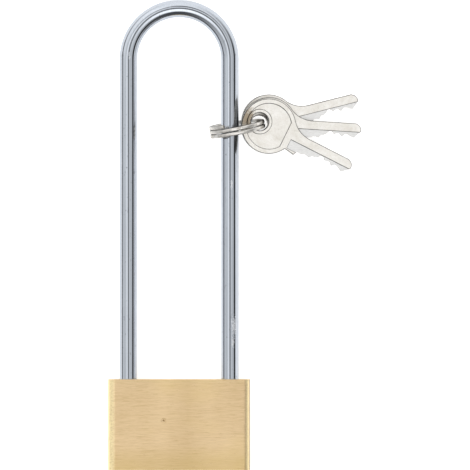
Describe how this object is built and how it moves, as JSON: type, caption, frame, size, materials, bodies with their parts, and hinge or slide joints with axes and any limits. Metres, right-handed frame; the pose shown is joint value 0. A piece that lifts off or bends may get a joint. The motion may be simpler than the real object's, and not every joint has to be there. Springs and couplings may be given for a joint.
{
  "type": "padlock",
  "caption": "Solid brass padlock with a long round steel shackle, a pin-tumbler plug and a spring bolt, with flat keys on a split ring round one leg.",
  "frame": {"origin": "centre of the body's flat back face, in the middle of its width and height", "axes": "+X across the width to the toe leg's side, where the keys hang; +Y from the key end along the shackle to its crown; +Z through the thickness, out of the front face. The padlock is stored lying on its back face."},
  "size_m": [0.0893, 0.1658, 0.02],
  "materials": {
    "body_brass": "brushed",
    "plug_brass": "satin",
    "shackle_chrome": "polished",
    "inner_steel": "satin",
    "spring_steel": "satin",
    "ring_nickel": "polished",
    "key_nickel": "satin"
  },
  "bodies": {
    "body": {"lock_body": "body_brass", "plug_retaining_pin": "body_brass", "heel_retaining_pin": "inner_steel", "bolt_bore_plug": "body_brass", "heel_spring": "spring_steel", "bolt_spring": "spring_steel", "pin_spring_1": "spring_steel", "pin_spring_2": "spring_steel", "pin_spring_3": "spring_steel", "pin_spring_4": "spring_steel", "pin_spring_5": "spring_steel", "chamber_plug_1": "body_brass", "chamber_plug_2": "body_brass", "chamber_plug_3": "body_brass", "chamber_plug_4": "body_brass", "chamber_plug_5": "body_brass"},
    "shackle": {"shackle": "shackle_chrome"},
    "plug": {"key_plug": "plug_brass", "tail_cam": "inner_steel"},
    "bolt": {"spring_bolt": "plug_brass"},
    "key_pin_1": {"key_pin_1": "plug_brass"},
    "key_pin_2": {"key_pin_2": "plug_brass"},
    "key_pin_3": {"key_pin_3": "plug_brass"},
    "key_pin_4": {"key_pin_4": "plug_brass"},
    "key_pin_5": {"key_pin_5": "plug_brass"},
    "driver_pin_1": {"driver_pin_1": "inner_steel"},
    "driver_pin_2": {"driver_pin_2": "inner_steel"},
    "driver_pin_3": {"driver_pin_3": "inner_steel"},
    "driver_pin_4": {"driver_pin_4": "inner_steel"},
    "driver_pin_5": {"driver_pin_5": "inner_steel"},
    "ring": {"split_ring": "ring_nickel"},
    "key_1": {"key_1": "key_nickel"},
    "key_2": {"key_2": "key_nickel"},
    "key_3": {"key_3": "key_nickel"}
  },
  "joints": [
    {"name": "shackle_lift", "type": "slide", "parent": "body", "child": "shackle", "axis": [0, 1, 0], "range_m": [0, 0.0125], "deforming": ["heel_spring"]},
    {"name": "plug_turn", "type": "hinge", "parent": "body", "child": "plug", "pos_m": [0, 0, 0.0075], "axis": [0, 1, 0], "range_deg": [-90, 0]},
    {"name": "bolt_slide", "type": "slide", "parent": "body", "child": "bolt", "axis": [1, 0, 0], "range_m": [0, 0.002], "deforming": ["bolt_spring"]},
    {"name": "key_pin_1_drop", "type": "slide", "parent": "plug", "child": "key_pin_1", "axis": [0, 0, 1], "range_m": [0, 0.0018]},
    {"name": "key_pin_2_drop", "type": "slide", "parent": "plug", "child": "key_pin_2", "axis": [0, 0, 1], "range_m": [0, 0.0018]},
    {"name": "key_pin_3_drop", "type": "slide", "parent": "plug", "child": "key_pin_3", "axis": [0, 0, 1], "range_m": [0, 0.0018]},
    {"name": "key_pin_4_drop", "type": "slide", "parent": "plug", "child": "key_pin_4", "axis": [0, 0, 1], "range_m": [0, 0.0018]},
    {"name": "key_pin_5_drop", "type": "slide", "parent": "plug", "child": "key_pin_5", "axis": [0, 0, 1], "range_m": [0, 0.0018]},
    {"name": "driver_pin_1_push", "type": "slide", "parent": "body", "child": "driver_pin_1", "axis": [1, 0, 0], "range_m": [0, 0.0018], "stiffness_N_per_m": 30, "springref_m": -0.002, "deforming": ["pin_spring_1"]},
    {"name": "driver_pin_2_push", "type": "slide", "parent": "body", "child": "driver_pin_2", "axis": [1, 0, 0], "range_m": [0, 0.0018], "stiffness_N_per_m": 30, "springref_m": -0.002, "deforming": ["pin_spring_2"]},
    {"name": "driver_pin_3_push", "type": "slide", "parent": "body", "child": "driver_pin_3", "axis": [1, 0, 0], "range_m": [0, 0.0018], "stiffness_N_per_m": 30, "springref_m": -0.002, "deforming": ["pin_spring_3"]},
    {"name": "driver_pin_4_push", "type": "slide", "parent": "body", "child": "driver_pin_4", "axis": [1, 0, 0], "range_m": [0, 0.0018], "stiffness_N_per_m": 30, "springref_m": -0.002, "deforming": ["pin_spring_4"]},
    {"name": "driver_pin_5_push", "type": "slide", "parent": "body", "child": "driver_pin_5", "axis": [1, 0, 0], "range_m": [0, 0.0018], "stiffness_N_per_m": 30, "springref_m": -0.002, "deforming": ["pin_spring_5"]},
    {"name": "ring_slide", "type": "slide", "parent": "shackle", "child": "ring", "axis": [0, 1, 0], "range_m": [-0.078, 0.021]},
    {"name": "key_1_swing", "type": "hinge", "parent": "ring", "child": "key_1", "pos_m": [0.02959, 0.10608, 0.01099], "axis": [0.153, 0, 0.9882], "range_deg": [-20, 60]},
    {"name": "key_2_swing", "type": "hinge", "parent": "ring", "child": "key_2", "pos_m": [0.02949, 0.10627, 0.00868], "axis": [0.153, 0, 0.9882], "range_deg": [-36, 60]},
    {"name": "key_3_swing", "type": "hinge", "parent": "ring", "child": "key_3", "pos_m": [0.02882, 0.10636, 0.00646], "axis": [0.153, 0, 0.9882], "range_deg": [-40, 30]}
  ],
  "couplings": [
    {"joint": "plug_turn", "follows": "bolt_slide", "rad_per_m": -785.39}
  ]
}
